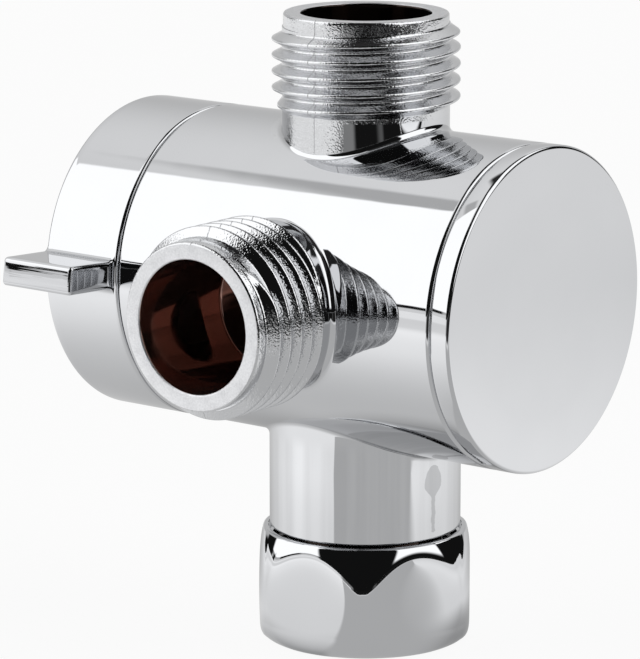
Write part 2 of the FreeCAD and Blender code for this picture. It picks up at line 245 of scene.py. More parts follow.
# %% [markdown]
# ## The table
# A plain pale table under the valve. It has to look white to the camera and in the chrome, and still
# take a faint shadow, so its surface is part glow and part matt paint. Lamps and screens could shade
# it, but the chrome mirrors it from close by and would show their noise. So the glow that the chrome
# sees is drawn by place: how far a spot lies from the valve, and on which side.

# %% Lay the table
table_width = 4000
bpy.ops.object.select_all(action="DESELECT")
bpy.ops.mesh.primitive_grid_add(x_subdivisions=8, y_subdivisions=8, size=table_width * mm)
table = bpy.context.object
table.name = "pale_table"

paint = bpy.data.materials.new("pale_table_paint")
paint.use_nodes = True
tree = paint.node_tree
tree.nodes.clear()
table.data.materials.append(paint)
print("table", round(table.dimensions.x, 2), "m wide")

# %% Where a spot lies on the table
spot = facing_camera(tree, "Object")
rightward, back, _ = parts_of(tree, spot)
forward = maths(tree, "MULTIPLY", back, -1.0)
length = add_node(tree, "ShaderNodeVectorMath", operation="LENGTH")
feed(tree, length.inputs[0], spot)
away = length.outputs["Value"]
turn_here = maths(tree, "DEGREES", maths(tree, "ARCTAN2", rightward, forward))
right_share = maths(tree, "DIVIDE", rightward, away)
left_share = maths(tree, "MAXIMUM", maths(tree, "MULTIPLY", right_share, -1.0), 0.0)
back_share = maths(tree, "MAXIMUM", maths(tree, "DIVIDE", back, away), 0.0)
back_share = maths(tree, "MULTIPLY", back_share, back_share)


def dimmed(light, share, drop):
    """A light that loses a drop where a share is full."""
    return maths(tree, "SUBTRACT", light, maths(tree, "MULTIPLY", share, drop))


print("places on the table use", len(tree.nodes), "nodes")

# %% [markdown]
# ## The table's glow in the chrome
# Close to the valve little light gets in, so the table is dim round the foot, and furthest out on the
# right. It shines more where it is seen at a slant, is duller behind the valve, and on the far left
# dips before it ends in a bright rim. These changes are all slow, so soft steps by distance are enough.

# %% Glow near, far and at the left rim
far_light = 1.2
last_light = 1.02
dip_light = 0.98
rim_light = 1.2
lee_length = 8

near_glow = soft_step(tree, away, 14 * mm, 95 * mm, low=0.98, high=1.17)
near_glow = dimmed(near_glow, back_share, drop=0.65)
slant = add_node(tree, "ShaderNodeLayerWeight")
sheen = soft_step(tree, slant.outputs["Facing"], 0.05, 0.65, low=0.68, high=1.0)
near_glow = maths(tree, "MULTIPLY", near_glow, sheen)
lee = maths(tree, "MULTIPLY", maths(tree, "MAXIMUM", right_share, 0.0), lee_length * mm)
contact = soft_step(tree, maths(tree, "SUBTRACT", away, lee), 5 * mm, 21 * mm, low=0.42, high=1.0)
near_glow = maths(tree, "MULTIPLY", near_glow, contact)
far_glow = dimmed(dimmed(far_light, right_share, drop=0.2), back_share, drop=0.5)
last_glow = dimmed(last_light, back_share, drop=0.32)
mirrored = blend(tree, soft_step(tree, away, 60 * mm, 240 * mm), near_glow, far_glow)
mirrored = blend(tree, soft_step(tree, away, 230 * mm, 350 * mm), mirrored, last_glow)

dip_share = maths(tree, "MULTIPLY", left_share, soft_step(tree, away, 170 * mm, 250 * mm))
mirrored = blend(tree, dip_share, mirrored, dip_light)
rim_share = maths(tree, "MULTIPLY", left_share, soft_step(tree, away, 430 * mm, 560 * mm))
mirrored = blend(tree, rim_share, mirrored, rim_light)
print("glow near and far uses", len(tree.nodes), "nodes")

# %% [markdown]
# ## The shade on the camera's side
# The photographer's own shade falls on the table as a grey wedge that opens towards the camera. Its
# left edge is crisp, and its right edge starts soft. The barrel and the neck mirror it as their
# grey fields. Further out the table ends and the dark room begins, with one dim patch and a faint
# gleam in it, which show in the band under the top outlet.

# %% Grey wedge, dark room, dim patch and gleam
wedge_light = 0.6
patch_light = 0.28
gleam_light = 0.12
wedge_left_slope = 0.774
wedge_right_slope = 1.384
wedge_right_shift = 2.3
room_edge_slope = 0.4

left_line = maths(tree, "ADD", rightward, maths(tree, "MULTIPLY", forward, wedge_left_slope))
right_line = maths(tree, "SUBTRACT", rightward, maths(tree, "MULTIPLY", forward, wedge_right_slope))
right_blur = soft_step(tree, forward, 30 * mm, 70 * mm, low=8 * mm, high=1 * mm)
right_line = maths(tree, "DIVIDE", maths(tree, "ADD", right_line, wedge_right_shift * mm), right_blur)
wedge = maths(tree, "MULTIPLY", soft_step(tree, left_line, 3 * mm, 5 * mm),
              soft_step(tree, right_line, -1.0, 1.0, low=1.0, high=0.0))
wedge = maths(tree, "MULTIPLY", wedge, soft_step(tree, forward, 130 * mm, 170 * mm, low=1.0, high=0.0))
mirrored = blend(tree, wedge, mirrored, wedge_light)

edge_line = maths(tree, "ADD", rightward, maths(tree, "MULTIPLY", forward, room_edge_slope))
beyond = maths(tree, "MULTIPLY", soft_step(tree, forward, 150 * mm, 190 * mm),
               soft_step(tree, edge_line, -5 * mm, 5 * mm))
mirrored = blend(tree, beyond, mirrored, dark_light)
patch = maths(tree, "MULTIPLY", soft_band(tree, turn_here, -40, -34, -19, -13),
              soft_step(tree, away, 200 * mm, 240 * mm))
mirrored = blend(tree, patch, mirrored, patch_light)
gleam = maths(tree, "MULTIPLY", soft_band(tree, turn_here, 12, 19, 20, 24), beyond)
mirrored = blend(tree, gleam, mirrored, gleam_light)
print("glow with its shade uses", len(tree.nodes), "nodes")

# %% Mix glow and matt paint
camera_glow = 0.92
path = add_node(tree, "ShaderNodeLightPath")
glow_paint = add_node(tree, "ShaderNodeEmission")
feed(tree, glow_paint.inputs["Strength"], blend(tree, path.outputs["Is Camera Ray"], mirrored, 1.0))
matt_paint = add_node(tree, "ShaderNodeBsdfDiffuse")
matt_paint.inputs["Color"].default_value = (0.86, 0.86, 0.86, 1)
glow_share = maths(tree, "MULTIPLY", path.outputs["Is Camera Ray"], camera_glow)
for ray in ("Is Glossy Ray", "Is Transmission Ray"):
    glow_share = maths(tree, "MAXIMUM", glow_share, path.outputs[ray])
mixed = add_node(tree, "ShaderNodeMixShader")
feed(tree, mixed.inputs[0], glow_share)
feed(tree, mixed.inputs[1], matt_paint.outputs[0])
feed(tree, mixed.inputs[2], glow_paint.outputs[0])
feed(tree, add_node(tree, "ShaderNodeOutputMaterial").inputs["Surface"], mixed.outputs[0])
print("table painted with", len(tree.nodes), "nodes")

# %% [markdown]
# ## Finishes
# All the outer pieces are plated, and most are buffed first. Image textures could give their fine
# marks, but they would need fitting to every piece. Noises on Object coordinates need none, and
# sizes of lumps and depths of bumps can be given in real millimetres. These helpers start a finish
# and vary its colour, its roughness and its height.

# %% Finish helpers
def new_finish(name, metallic=1.0, roughness=0.3):
    """A material with its main shader and Object coordinates, ready for detail."""
    made = bpy.data.materials.new(name)
    made.use_nodes = True
    shader = made.node_tree.nodes["Principled BSDF"]
    shader.inputs["Metallic"].default_value = metallic
    shader.inputs["Roughness"].default_value = roughness
    place = add_node(made.node_tree, "ShaderNodeTexCoord").outputs["Object"]
    return made, made.node_tree, shader, place


def grain(tree, place, size, detail=2.0):
    """Noise whose lumps are about size millimetres across."""
    made = add_node(tree, "ShaderNodeTexNoise")
    feed(tree, made.inputs["Vector"], place)
    made.inputs["Scale"].default_value = 1 / (size * mm)
    made.inputs["Detail"].default_value = detail
    return made.outputs["Fac"]


def drawn_out(tree, place, scale):
    """Coordinates scaled along each axis: a grain is drawn out along an axis with a small scale."""
    made = add_node(tree, "ShaderNodeMapping")
    made.inputs["Scale"].default_value = scale
    feed(tree, made.inputs["Vector"], place)
    return made.outputs[0]


def tint_between(tree, shader, share, first, second):
    """Base colour that drifts between two colours."""
    made = add_node(tree, "ShaderNodeMix", data_type="RGBA")
    feed(tree, made.inputs[0], share)
    made.inputs[6].default_value = (*first, 1)
    made.inputs[7].default_value = (*second, 1)
    feed(tree, shader.inputs["Base Color"], made.outputs[2])


def vary_roughness(tree, shader, share, low, high):
    """Roughness that follows the middle of a noise's range."""
    feed(tree, shader.inputs["Roughness"], soft_step(tree, share, 0.3, 0.8, low, high))


def raise_grain(tree, shader, height, depth):
    """Bump whose full height is depth millimetres."""
    made = add_node(tree, "ShaderNodeBump")
    made.inputs["Strength"].default_value = 1.0
    made.inputs["Distance"].default_value = depth * mm
    feed(tree, made.inputs["Height"], height)
    feed(tree, shader.inputs["Normal"], made.outputs[0])


# %% [markdown]
# ## Buffed chrome
# Buffed plating is a mirror with the faintest unevenness: the wheel leaves a slow ripple, and the
# film's tint drifts a little. A plain mirror would look like a drawing of chrome. The lever's tip was
# ground along the axis before it was plated, so its mirror carries fine level streaks.

# %% Buffed and streaked chrome
chrome_light = (0.63, 0.637, 0.65)
chrome_dark = (0.60, 0.607, 0.622)
streak_dark = (0.5, 0.505, 0.52)


def polished_chrome(name):
    """Buffed plating: a mirror with a slow ripple and a drifting tint."""
    made, tree, shader, place = new_finish(name)
    tint_between(tree, shader, grain(tree, place, size=9), chrome_dark, chrome_light)
    vary_roughness(tree, shader, grain(tree, place, size=5), low=0.015, high=0.05)
    raise_grain(tree, shader, grain(tree, place, size=6, detail=1.0), depth=0.012)
    return made


def streaked_chrome(name):
    """Plating over a face that was ground along X: a mirror with fine level streaks."""
    made, tree, shader, place = new_finish(name)
    streaks = grain(tree, drawn_out(tree, place, (0.04, 1, 1)), size=0.5)
    tint_between(tree, shader, streaks, streak_dark, chrome_light)
    vary_roughness(tree, shader, streaks, low=0.015, high=0.05)
    raise_grain(tree, shader, streaks, depth=0.008)
    return made


# %% [markdown]
# ## The dried run, the rubbing streaks and a painted highlight
# A drop has slid down the right of the neck and dried: a dull mark with a round head and a thin
# trail. Its half width is worked out from the height, a dome above the head's middle and a taper
# below it, and the noise makes its edge wander. Rubbing up and down the neck has left soft upright
# streaks. A broader, lighter band at the front left is a painted highlight: the tint is raised there
# to stand in for a reflection. All three are changes of tint in the body's own chrome; the run and
# the streaks have no thickness to model.

# %% Chrome of the body
run_side = -1.5
run_height = 19.2
run_edge = 0.12
run_wobble = 0.5
run_tint = (0.45, 0.455, 0.465)
drop_rise = 2.2
drop_fall = 2.2
drop_width = 2.7
trail_length = 5.4
trail_width = 0.7
trail_end = 0.2
rub_depth = 0.05
# Painted highlight: a lighter upright band on the neck's front left, standing in for a reflection.
highlight_place = -1.1
highlight_core = 0.2
highlight_width = 1.5
highlight_lift = 0.17


def dried_run(tree, place):
    """1 on the dried run, 0 off it."""
    x, y, z = parts_of(tree, place)
    below = maths(tree, "SUBTRACT", run_height * mm, z)
    above = maths(tree, "MAXIMUM", maths(tree, "DIVIDE", below, -drop_rise * mm), 0.0)
    dome = maths(tree, "SUBTRACT", 1.0, maths(tree, "MULTIPLY", above, above))
    dome = maths(tree, "SQRT", maths(tree, "MAXIMUM", dome, 0.0))
    taper = soft_step(tree, below, 0.0, drop_fall * mm, low=drop_width * mm / 2, high=0.0)
    drop_half = maths(tree, "MULTIPLY", dome, taper)
    trail = soft_band(tree, below, 0.0, trail_end * mm, trail_length * mm, (trail_length + trail_end) * mm)
    half = maths(tree, "MAXIMUM", drop_half, maths(tree, "MULTIPLY", trail, trail_width * mm / 2))
    across = maths(tree, "ABSOLUTE", maths(tree, "SUBTRACT", y, run_side * mm))
    wobble = maths(tree, "SUBTRACT", grain(tree, place, size=0.8), 0.5)
    across = maths(tree, "ADD", across, maths(tree, "MULTIPLY", wobble, run_wobble * mm))
    on_run = soft_step(tree, maths(tree, "SUBTRACT", half, across), 0.0, run_edge * mm)
    return maths(tree, "MULTIPLY", on_run, soft_step(tree, x, 8 * mm, 9 * mm))


def rubbed_neck_and_highlight(tree, place):
    """Factor on the tint: soft upright rub streaks on the neck plus a painted highlight at its front left,
    and 1 above it.
    """
    x, y, z = parts_of(tree, place)
    upright = grain(tree, drawn_out(tree, place, (1, 1, 0.03)), size=1.4)
    rub_and_highlight = soft_step(tree, upright, 0.3, 0.7, low=-rub_depth, high=rub_depth)
    # Painted highlight: the tint is raised in one upright band at the front left of the neck.
    off_highlight = maths(tree, "ABSOLUTE", maths(tree, "SUBTRACT", x, highlight_place * mm))
    painted_highlight = soft_step(tree, off_highlight, highlight_core * mm, highlight_width * mm, low=highlight_lift, high=0.0)
    highlight_in_front = soft_step(tree, y, -2 * mm, 2 * mm, low=1.0, high=0.0)
    rub_and_highlight = maths(tree, "ADD", rub_and_highlight, maths(tree, "MULTIPLY", painted_highlight, highlight_in_front))
    on_neck = soft_step(tree, z, 23 * mm, 25 * mm, low=1.0, high=0.0)
    return maths(tree, "ADD", 1.0, maths(tree, "MULTIPLY", rub_and_highlight, on_neck))


def run_chrome(name):
    """Buffed plating with rub streaks and a painted highlight on the neck, and one dull run on its right
    side.
    """
    made = polished_chrome(name)
    tree = made.node_tree
    shader = tree.nodes["Principled BSDF"]
    place = add_node(tree, "ShaderNodeTexCoord").outputs["Object"]
    dulled = add_node(tree, "ShaderNodeMix", data_type="RGBA")
    feed(tree, dulled.inputs[0], dried_run(tree, place))
    feed(tree, dulled.inputs[6], shader.inputs["Base Color"].links[0].from_socket)
    dulled.inputs[7].default_value = (*run_tint, 1)
    lit = add_node(tree, "ShaderNodeVectorMath", operation="SCALE")
    feed(tree, lit.inputs[0], dulled.outputs[2])
    # The tint is scaled by the rub streaks and by the painted highlight.
    feed(tree, lit.inputs["Scale"], rubbed_neck_and_highlight(tree, place))
    feed(tree, shader.inputs["Base Color"], lit.outputs[0])
    return made


# %% [markdown]
# ## Threads, mouths and bores
# The threads are cast and plated without buffing, so they keep a fine grain that breaks the mirror
# image into speckle, and a hair-thin mould line where the two halves of the mould met. The mouths
# are cut and plated, and look satin. The front bore is left as it was cast and shows the shiny brown
# of the casting's skin. The top bore, seen from the side, and the hollows inside get a very dark skin
# instead, which is painted shade. All of these are grains of different sizes on one plain shader, so
# three short functions are enough.

# %% Grained chrome, satin and bore skin
line_core = 0.02
line_edge = 0.09
line_groove = 0.4
line_tint = (0.42, 0.425, 0.435)


def grained_chrome(name, mould_line=False):
    """Plating over an unbuffed cast thread: a mirror broken by a fine grain, perhaps a mould line."""
    made, tree, shader, place = new_finish(name)
    vary_roughness(tree, shader, grain(tree, place, size=1), low=0.03, high=0.08)
    height = grain(tree, place, size=0.22, detail=1.0)
    if mould_line:
        off_line = maths(tree, "ABSOLUTE", parts_of(tree, place)[0])
        line = soft_step(tree, off_line, line_core * mm, line_edge * mm, low=1.0, high=0.0)
        tint_between(tree, shader, line, chrome_light, line_tint)
        height = maths(tree, "SUBTRACT", height, maths(tree, "MULTIPLY", line, line_groove))
    else:
        tint_between(tree, shader, grain(tree, place, size=2), chrome_dark, chrome_light)
    raise_grain(tree, shader, height, depth=0.035)
    return made


def satin_chrome(name):
    """Plating over a cut face: bright but not mirror-like, with a sandy grain."""
    made, tree, shader, place = new_finish(name)
    tint_between(tree, shader, grain(tree, place, size=0.25), (0.56, 0.565, 0.58), (0.84, 0.845, 0.86))
    vary_roughness(tree, shader, grain(tree, place, size=1), low=0.36, high=0.5)
    raise_grain(tree, shader, grain(tree, place, size=0.2), depth=0.02)
    return made


def bore_skin(name, dark, light):
    """Skin of the casting inside the bores, still shiny, with a drifting tint; very dark colours make it
    painted shade.
    """
    made, tree, shader, place = new_finish(name, metallic=0.94)
    tint_between(tree, shader, grain(tree, place, size=5), dark, light)
    vary_roughness(tree, shader, grain(tree, place, size=3), low=0.05, high=0.12)
    raise_grain(tree, shader, grain(tree, place, size=4, detail=1.0), depth=0.02)
    return made


# The very dark bore skin is painted shade for the top bore and the hollows inside.
casting_finishes = [run_chrome("body_chrome"), grained_chrome("thread_chrome", mould_line=True),
                    satin_chrome("mouth_satin"),
                    bore_skin("bore_brown", (0.25, 0.18, 0.15), (0.40, 0.23, 0.20)),
                    bore_skin("bore_painted_shade", (0.02, 0.015, 0.013), (0.05, 0.035, 0.03))]
print("finishes of the casting:", [finish.name for finish in casting_finishes])

# %% [markdown]
# ## Modelling by rings
# Nearly every piece here is a tube of some kind: a run of rings, each extruded from the last. One
# helper does that as one would by hand: it adds a circle, enters edit mode, extrudes the open ring
# and sets the new ring's points, again and again. Corners of a section are rounded first, by a second
# helper that swaps each sharp point for an arc.

# %% Ring helpers
def select_nothing():
    """Object mode with nothing selected, so that the next operator touches only its own piece."""
    if bpy.context.mode != "OBJECT":
        bpy.ops.object.mode_set(mode="OBJECT")
    bpy.ops.object.select_all(action="DESELECT")


def set_ring(piece, ring):
    """Puts the selected ring's points at their places, in ring order."""
    mesh = bmesh.from_edit_mesh(piece.data)
    order = mesh.verts.layers.int.get("order")
    if order is None:
        order = mesh.verts.layers.int.new("order")
        mesh.verts.ensure_lookup_table()
        for vertex in mesh.verts:
            vertex[order] = vertex.index
    for vertex in mesh.verts:
        if vertex.select:
            vertex.co = ring[vertex[order]] * mm
    bmesh.update_edit_mesh(piece.data)


def extruded_rings(name, rings):
    """A tube through rings of points, extruded one after another from a circle."""
    select_nothing()
    bpy.ops.mesh.primitive_circle_add(vertices=len(rings[0]), radius=mm)
    piece = bpy.context.object
    piece.name = name
    bpy.ops.object.mode_set(mode="EDIT")
    bpy.ops.mesh.select_mode(type="EDGE")
    bpy.ops.mesh.select_all(action="SELECT")
    set_ring(piece, rings[0])
    for ring in rings[1:]:
        bpy.ops.mesh.extrude_region()
        set_ring(piece, ring)
    bpy.ops.object.mode_set(mode="OBJECT")
    print(name, "is drawn through", len(rings), "rings of", len(rings[0]), "points")
    return piece


def rounded(points, steps=6):
    """A section's points, (along, out, radius), with each corner swapped for an arc of its radius."""
    made = [Vector(points[0][:2])]
    for before, corner, after in zip(points, points[1:], points[2:]):
        middle = Vector(corner[:2])
        radius = corner[2] if len(corner) > 2 else 0
        if not radius:
            made.append(middle)
            continue
        back = (Vector(before[:2]) - middle).normalized()
        on = (Vector(after[:2]) - middle).normalized()
        half = back.angle(on) / 2
        centre = middle + (back + on).normalized() * (radius / math.sin(half))
        start = middle + back * (radius / math.tan(half)) - centre
        end = middle + on * (radius / math.tan(half)) - centre
        sweep = start.angle(end)
        for step in range(steps + 1):
            share = step / steps
            made.append(centre + (start * math.sin((1 - share) * sweep)
                                  + end * math.sin(share * sweep)) / math.sin(sweep))
    made.append(Vector(points[-1][:2]))
    return made


# %% Helpers that finish a mesh
merge_distance = 0.0005


def finish_mesh(piece, smooth_angle=35):
    """Merges doubled points, turns the faces outwards and shades soft up to an angle."""
    select_nothing()
    piece.select_set(True)
    bpy.context.view_layer.objects.active = piece
    bpy.ops.object.mode_set(mode="EDIT")
    bpy.ops.mesh.select_all(action="SELECT")
    bpy.ops.mesh.remove_doubles(threshold=merge_distance * mm)
    bpy.ops.mesh.dissolve_degenerate(threshold=merge_distance * mm)
    bpy.ops.mesh.select_all(action="SELECT")
    bpy.ops.mesh.normals_make_consistent(inside=False)
    bpy.ops.object.mode_set(mode="OBJECT")
    bpy.ops.object.shade_smooth_by_angle(angle=math.radians(smooth_angle))
    print(piece.name, "has", len(piece.data.polygons), "faces")


def place_piece(piece, turn=0.0):
    """Turns a mesh about the barrel's axis if asked, and lifts it to its place above the table."""
    if turn:
        piece.data.transform(Matrix.Rotation(turn, 4, "X"))
    piece.data.transform(Matrix.Translation((0, 0, axis_height)))


def joined(pieces):
    """One object from several, named as the first."""
    select_nothing()
    for piece in pieces:
        piece.select_set(True)
    bpy.context.view_layer.objects.active = pieces[0]
    bpy.ops.object.join()
    return pieces[0]


# %% [markdown]
# ## The casting: barrel, outlets and neck
# The body is one casting. A boolean could join a cylinder and three pipes, but it leaves thin
# triangles just where the chrome shows every flaw, at the soft roots of the outlets. So the barrel's
# skin is split into four quarters, and each quarter that has a pipe is one long tube of rings: it
# closes in from the quarter's outline to the root, rolls up the root's round as a ball would lie in
# the corner, climbs the pipe, turns in at the mouth and goes down the bore to the chamber inside.

# %% Sizes of the casting
edge_cells = 72
arc_cells = 56
skin_steps = 20
root_steps = 7
chamber_steps = 6
quarter = math.pi / 4
root_round = 0.8
barrel_left_round = 0.4
barrel_right_round = 0.45
skin_left = barrel_left + barrel_left_round
skin_right = barrel_right - barrel_right_round
chamber_radius = 14.0
chamber_left = -14.0
chamber_right = 16.0
thread_core = 9.3155
neck_radius = 10.7975
print("chamber", chamber_right - chamber_left, "mm long,", 2 * chamber_radius, "mm wide")


# %% Rings on the barrel's skin
def quarter_outline(left, right):
    """Points round a quarter of a barrel's skin: (place along X, angle from the quarter's middle)."""
    along = [left + (right - left) * cell / edge_cells for cell in range(edge_cells)]
    across = [quarter * (2 * cell / arc_cells - 1) for cell in range(arc_cells)]
    outline = [(place, -quarter) for place in along]
    outline += [(right, angle) for angle in across]
    outline += [(left + right - place, quarter) for place in along]
    outline += [(left, -angle) for angle in across]
    return outline


def bearings_of(outline, radius):
    """Direction of each outline point as seen from the pipe's axis."""
    return [math.atan2(angle * radius, place) for place, angle in outline]


def skin_point(radius, place, angle):
    """Point on a barrel of a radius, in the quarter whose middle points up."""
    return Vector((place, radius * math.sin(angle), radius * math.cos(angle)))


def skin_rings(radius, outline, opening, count):
    """Rings on the barrel that close in from the outline to an opening's edge."""
    rings = []
    for step in range(count + 1):
        share = step / count
        rings.append([skin_point(radius, x + (u - x) * share, a + (b - a) * share)
                      for (x, a), (u, b) in zip(outline, opening)])
    return rings


# %% Rings of the root and the pipe
def ball_places(pipe_radius, bearings):
    """Centres of a ball that rolls in the corner between the pipe and the barrel."""
    reach = pipe_radius + root_round
    stand = barrel_radius + root_round
    return [Vector((reach * math.cos(b), reach * math.sin(b),
                    math.sqrt(stand ** 2 - (reach * math.sin(b)) ** 2))) for b in bearings]


def root_rings(pipe_radius, bearings):
    """Rings of the root's round, from the barrel up to the pipe."""
    rings = []
    centres = ball_places(pipe_radius, bearings)
    for step in range(1, root_steps + 1):
        ring = []
        for centre, b in zip(centres, bearings):
            to_barrel = -Vector((0, centre.y, centre.z)).normalized()
            to_pipe = -Vector((math.cos(b), math.sin(b), 0))
            ring.append(centre + root_round * to_barrel.slerp(to_pipe, step / root_steps))
        rings.append(ring)
    return rings


def pipe_rings(section, bearings):
    """Level rings from a section of (height, radius) points."""
    return [[Vector((radius * math.cos(b), radius * math.sin(b), height)) for b in bearings]
            for height, radius in section]


def pipe_quarter(name, pipe_radius, section, inner_radius):
    """One quarter of the casting with its pipe, from the outer skin to the chamber's skin."""
    outline = quarter_outline(skin_left, skin_right)
    bearings = bearings_of(outline, barrel_radius)
    root = [(centre.x, math.asin(centre.y / (barrel_radius + root_round)))
            for centre in ball_places(pipe_radius, bearings)]
    rings = skin_rings(barrel_radius, outline, root, skin_steps)
    rings += root_rings(pipe_radius, bearings)
    rings += pipe_rings(section[:-1], bearings)
    inner_outline = quarter_outline(chamber_left, chamber_right)
    inner_bearings = bearings_of(inner_outline, chamber_radius)
    port = [(inner_radius * math.cos(b), math.asin(inner_radius * math.sin(b) / chamber_radius))
            for b in inner_bearings]
    rings += pipe_rings(section[-1:], inner_bearings)
    rings += list(reversed(skin_rings(chamber_radius, inner_outline, port, chamber_steps)))
    return extruded_rings(name, rings)


# %% The two outlets
outlet_foot = 19.4
rim_height = 28.9
rim_radius = 9.2
rim_round = 0.3
bore_radius = 7.25
bore_floor = 16.8
bore_floor_round = 0.3
port_radius = 5.25
throat_radius = 3.4
throat_end = 15.6
outlet_section = rounded([(outlet_foot, thread_core), (rim_height, thread_core), (rim_height, rim_radius),
                          (outlet_mouth, rim_radius, rim_round), (outlet_mouth, bore_radius, rim_round),
                          (bore_floor, bore_radius, bore_floor_round), (bore_floor, throat_radius),
                          (throat_end, throat_radius), (throat_end, port_radius)], 5)
top_quarter = pipe_quarter("valve_casting", thread_core, outlet_section, port_radius)
front_quarter = pipe_quarter("front_quarter", thread_core, outlet_section, port_radius)
front_quarter.data.transform(Matrix.Rotation(math.pi / 2, 4, "X"))

# %% [markdown]
# ## The neck
# The neck is the third pipe, and points down. On the real valve it ends just inside the nut, where
# its small rounded edge shows as a dark line. Below that a thinner tail goes on, with a groove for
# the snap ring that keeps the nut from falling off.

# %% The neck below
neck_foot = 19.6
neck_shoulder = 27.7
neck_round = 0.3
tail_radius = 8.8155
tail_end = 31.95
inlet_radius = 6.0
inlet_end = 17.0
ring_groove_top = 30.25
ring_groove_end = 31.25
ring_groove_radius = 8.0155
neck_section = rounded([(neck_foot, neck_radius), (neck_shoulder, neck_radius, neck_round),
                        (neck_shoulder, tail_radius), (ring_groove_top, tail_radius),
                        (ring_groove_top, ring_groove_radius), (ring_groove_end, ring_groove_radius),
                        (ring_groove_end, tail_radius), (tail_end, tail_radius),
                        (tail_end, inlet_radius), (inlet_end, inlet_radius)])
neck_quarter = pipe_quarter("neck_quarter", neck_radius, neck_section, inlet_radius)
neck_quarter.data.transform(Matrix.Rotation(math.pi, 4, "X"))

# %% [markdown]
# ## The plain back and the two ends
# The back quarter has no pipe, so it is a flat grid wrapped round the barrel, once outside and once
# inside. The ends are rings again: the left one turns in over a soft edge, narrows to the stem's hole
# and opens into the chamber; the right one is the seat that the cap is pressed into.

# %% Back and ends
def back_skin(name, radius, left, right):
    """A grid wrapped round the back quarter of a barrel."""
    select_nothing()
    bpy.ops.mesh.primitive_grid_add(x_subdivisions=edge_cells, y_subdivisions=arc_cells, size=2)
    piece = bpy.context.object
    piece.name = name
    for vertex in piece.data.vertices:
        place = left + (right - left) * (vertex.co.x + 1) / 2
        vertex.co = skin_point(radius, place, quarter * vertex.co.y) * mm
    piece.data.transform(Matrix.Rotation(-math.pi / 2, 4, "X"))
    return piece


def turned_rings(section, angles):
    """Rings round the barrel's axis from a section of (place along X, radius) points."""
    return [[skin_point(radius, place, angle) for angle in angles] for place, radius in section]


end_angles = [quarter * (2 * cell / arc_cells - 1) + 2 * quarter * side
              for side in range(4) for cell in range(arc_cells)]
stem_hole = 5.0
cap_seat_radius = 15.6
hair = 0.001
left_section = rounded([(skin_left, barrel_radius), (barrel_left, barrel_radius, barrel_left_round - hair),
                        (barrel_left, stem_hole), (chamber_left, stem_hole),
                        (chamber_left, chamber_radius)])
right_section = rounded([(skin_right, barrel_radius),
                         (barrel_right, barrel_radius, barrel_right_round - hair),
                         (barrel_right, cap_seat_radius), (chamber_right, cap_seat_radius),
                         (chamber_right, chamber_radius)])
casting = joined([top_quarter, front_quarter, neck_quarter,
                  back_skin("back_outside", barrel_radius, skin_left, skin_right),
                  back_skin("back_inside", chamber_radius, chamber_left, chamber_right),
                  extruded_rings("left_end", turned_rings(left_section, end_angles)),
                  extruded_rings("right_end", turned_rings(right_section, end_angles))])
finish_mesh(casting)

# %% [markdown]
# ## The outlet threads
# A half-inch pipe thread has rounded crests and valleys and flanks that lean 27.5 degrees. A stack of
# plain rings could stand in for it, but in chrome the climb of the crests shows. So one tooth is
# drawn as a closed loop that reaches a little into the pipe, and the Screw modifier winds it round
# into the whole thread. A real thread fades in and out at its ends, so the ends of the winding are
# then pressed down into the pipe.

# %% One tooth
pitch = 1.814
tooth_height = 1.162
tooth_round = 0.249
flank_lean = math.radians(27.5)
tooth_foot = 0.5
tooth_half = 0.499 * pitch
tooth_steps = 4
crest_steps = 5


def tooth_loop():
    """Closed loop of one tooth: (out from the valleys, along the axis), valley to valley."""
    arc = math.pi / 2 - flank_lean
    rising = []
    for step in range(tooth_steps + 1):
        angle = arc * step / tooth_steps
        rising.append((tooth_round * (1 - math.cos(angle)), -tooth_half + tooth_round * math.sin(angle)))
    crest = []
    for step in range(-crest_steps, crest_steps + 1):
        angle = arc * step / crest_steps
        crest.append((tooth_height - tooth_round * (1 - math.cos(angle)), tooth_round * math.sin(angle)))
    falling = [(out, -along) for out, along in reversed(rising)]
    return [(-tooth_foot, -tooth_half)] + rising + crest + falling + [(-tooth_foot, tooth_half)]


print("one tooth has", len(tooth_loop()), "points")

# %% Thread helper
steps_per_turn = 120
fade_sink = 0.06
foot_depth = 0.1


def wound_thread(name, start_height, start_angle, turns, fade_in, fade_out, core=thread_core, way=1):
    """A thread wound from a start height and angle; its ends fade over parts of a turn.

    Its valleys lie at the core's radius, and its teeth point out of a pipe (way 1) or into a bore (-1).
    """
    loop = tooth_loop()
    select_nothing()
    bpy.ops.mesh.primitive_circle_add(vertices=len(loop), radius=mm)
    thread = bpy.context.object
    thread.name = name
    for vertex, (out, along) in zip(thread.data.vertices, loop):
        vertex.co = Vector((core + way * out, 0, start_height + along)) * mm
    winding = thread.modifiers.new("winding", "SCREW")
    winding.axis = "Z"
    winding.angle = 2 * math.pi * turns
    winding.screw_offset = pitch * turns * mm
    winding.steps = winding.render_steps = round(steps_per_turn * turns)
    winding.use_smooth_shade = True
    bpy.ops.object.modifier_apply(modifier=winding.name)
    for vertex in thread.data.vertices:
        angle = math.atan2(vertex.co.y, vertex.co.x) / (2 * math.pi)
        height = (vertex.co.z / mm - start_height) / pitch
        turn = angle + round(height - angle)
        out = way * (math.hypot(vertex.co.x, vertex.co.y) / mm - core)
        fade = min(1, max(0, turn / fade_in), max(0, (turns - turn) / fade_out))
        fade = fade * fade * (3 - 2 * fade)
        if out > -foot_depth:
            scale = (core + way * (out * fade - fade_sink * (1 - fade))) / (core + way * out)
            vertex.co.x *= scale
            vertex.co.y *= scale
    bpy.ops.object.mode_set(mode="EDIT")
    bpy.ops.mesh.select_all(action="SELECT")
    bpy.ops.mesh.fill_holes(sides=0)
    bpy.ops.object.mode_set(mode="OBJECT")
    thread.data.transform(Matrix.Rotation(start_angle, 4, "Z"))
    return thread


